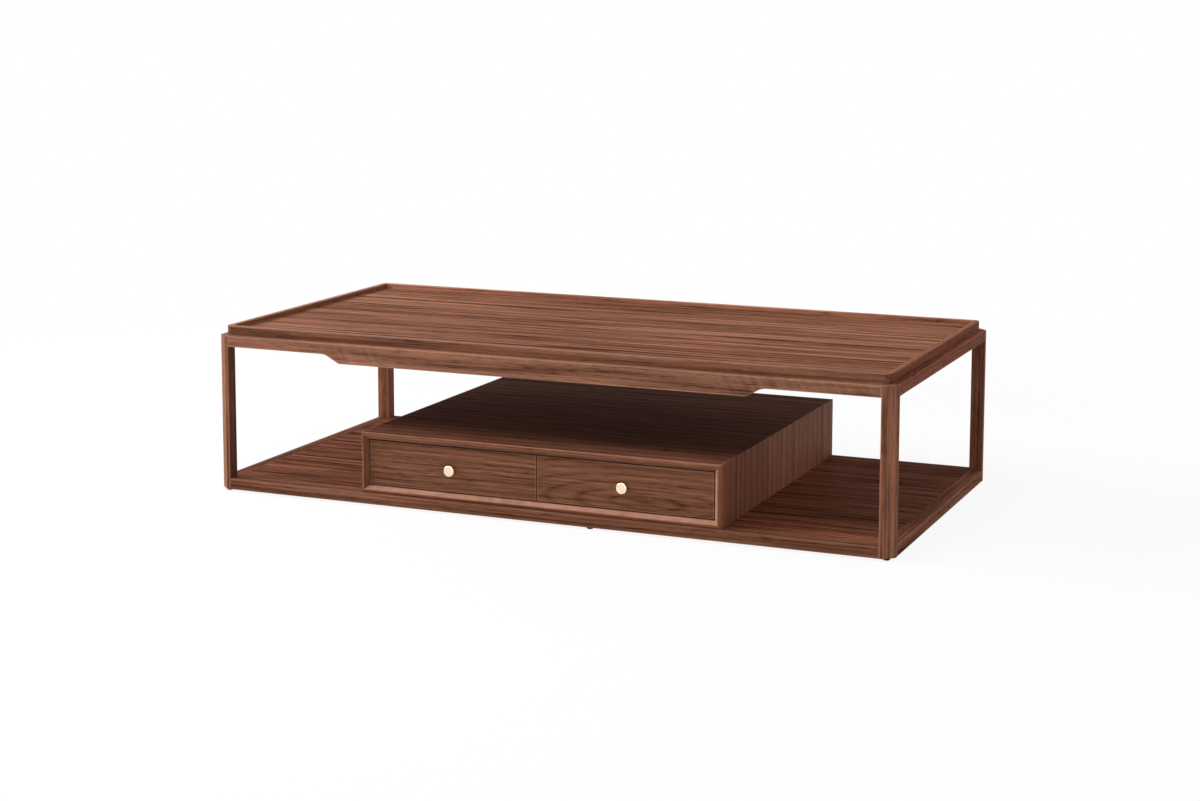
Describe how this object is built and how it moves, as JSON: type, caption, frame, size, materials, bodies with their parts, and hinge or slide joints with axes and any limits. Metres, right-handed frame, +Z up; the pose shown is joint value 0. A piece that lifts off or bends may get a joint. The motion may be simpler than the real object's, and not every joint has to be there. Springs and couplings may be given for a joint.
{
  "type": "coffee table with drawers",
  "caption": "Low rectangular walnut coffee table with a shallow tray top, cut-corner legs, an open base shelf and a low cabinet whose drawers slide out at the front.",
  "frame": {"origin": "centre of the footprint, on the floor", "axes": "+X along the length to the right as seen from the drawer side, -Y towards the drawer side, +Z up"},
  "size_m": [1.4, 0.704, 0.3365],
  "materials": {
    "walnut": "satin lacquer",
    "drawer_wood": "matt",
    "brass": "brushed satin",
    "black_plastic": "matt",
    "steel": "zinc plated"
  },
  "bodies": {
    "table": {"apron_back": "walnut", "apron_front": "walnut", "apron_left": "walnut", "apron_right": "walnut", "base_batten_left": "walnut", "base_batten_middle": "walnut", "base_batten_right": "walnut", "base_panel": "walnut", "base_rail_back": "walnut", "base_rail_front": "walnut", "base_rail_left": "walnut", "base_rail_right": "walnut", "batten_screws": "steel", "cabinet_back": "walnut", "cabinet_bottom": "walnut", "cabinet_divider": "walnut", "cabinet_left": "walnut", "cabinet_right": "walnut", "cabinet_screws": "steel", "cabinet_top": "walnut", "glides": "black_plastic", "leg_back_left": "walnut", "leg_back_right": "walnut", "leg_front_left": "walnut", "leg_front_right": "walnut", "rim_back": "walnut", "rim_front": "walnut", "rim_left": "walnut", "rim_right": "walnut", "runner_left_inner": "drawer_wood", "runner_left_outer": "drawer_wood", "runner_right_inner": "drawer_wood", "runner_right_outer": "drawer_wood", "top_batten_left": "walnut", "top_batten_middle": "walnut", "top_batten_right": "walnut", "top_panel": "walnut"},
    "drawer_left": {"drawer_left_back": "drawer_wood", "drawer_left_bottom": "drawer_wood", "drawer_left_front": "walnut", "drawer_left_side_inner": "drawer_wood", "drawer_left_side_outer": "drawer_wood", "knob_left": "brass", "knob_screw_left": "steel"},
    "drawer_right": {"drawer_right_back": "drawer_wood", "drawer_right_bottom": "drawer_wood", "drawer_right_front": "walnut", "drawer_right_side_inner": "drawer_wood", "drawer_right_side_outer": "drawer_wood", "knob_right": "brass", "knob_screw_right": "steel"}
  },
  "joints": [
    {"name": "drawer_left_slide", "type": "slide", "parent": "table", "child": "drawer_left", "axis": [0, -1, 0], "range_m": [0, 0.36]},
    {"name": "drawer_right_slide", "type": "slide", "parent": "table", "child": "drawer_right", "axis": [0, -1, 0], "range_m": [0, 0.36]}
  ]
}
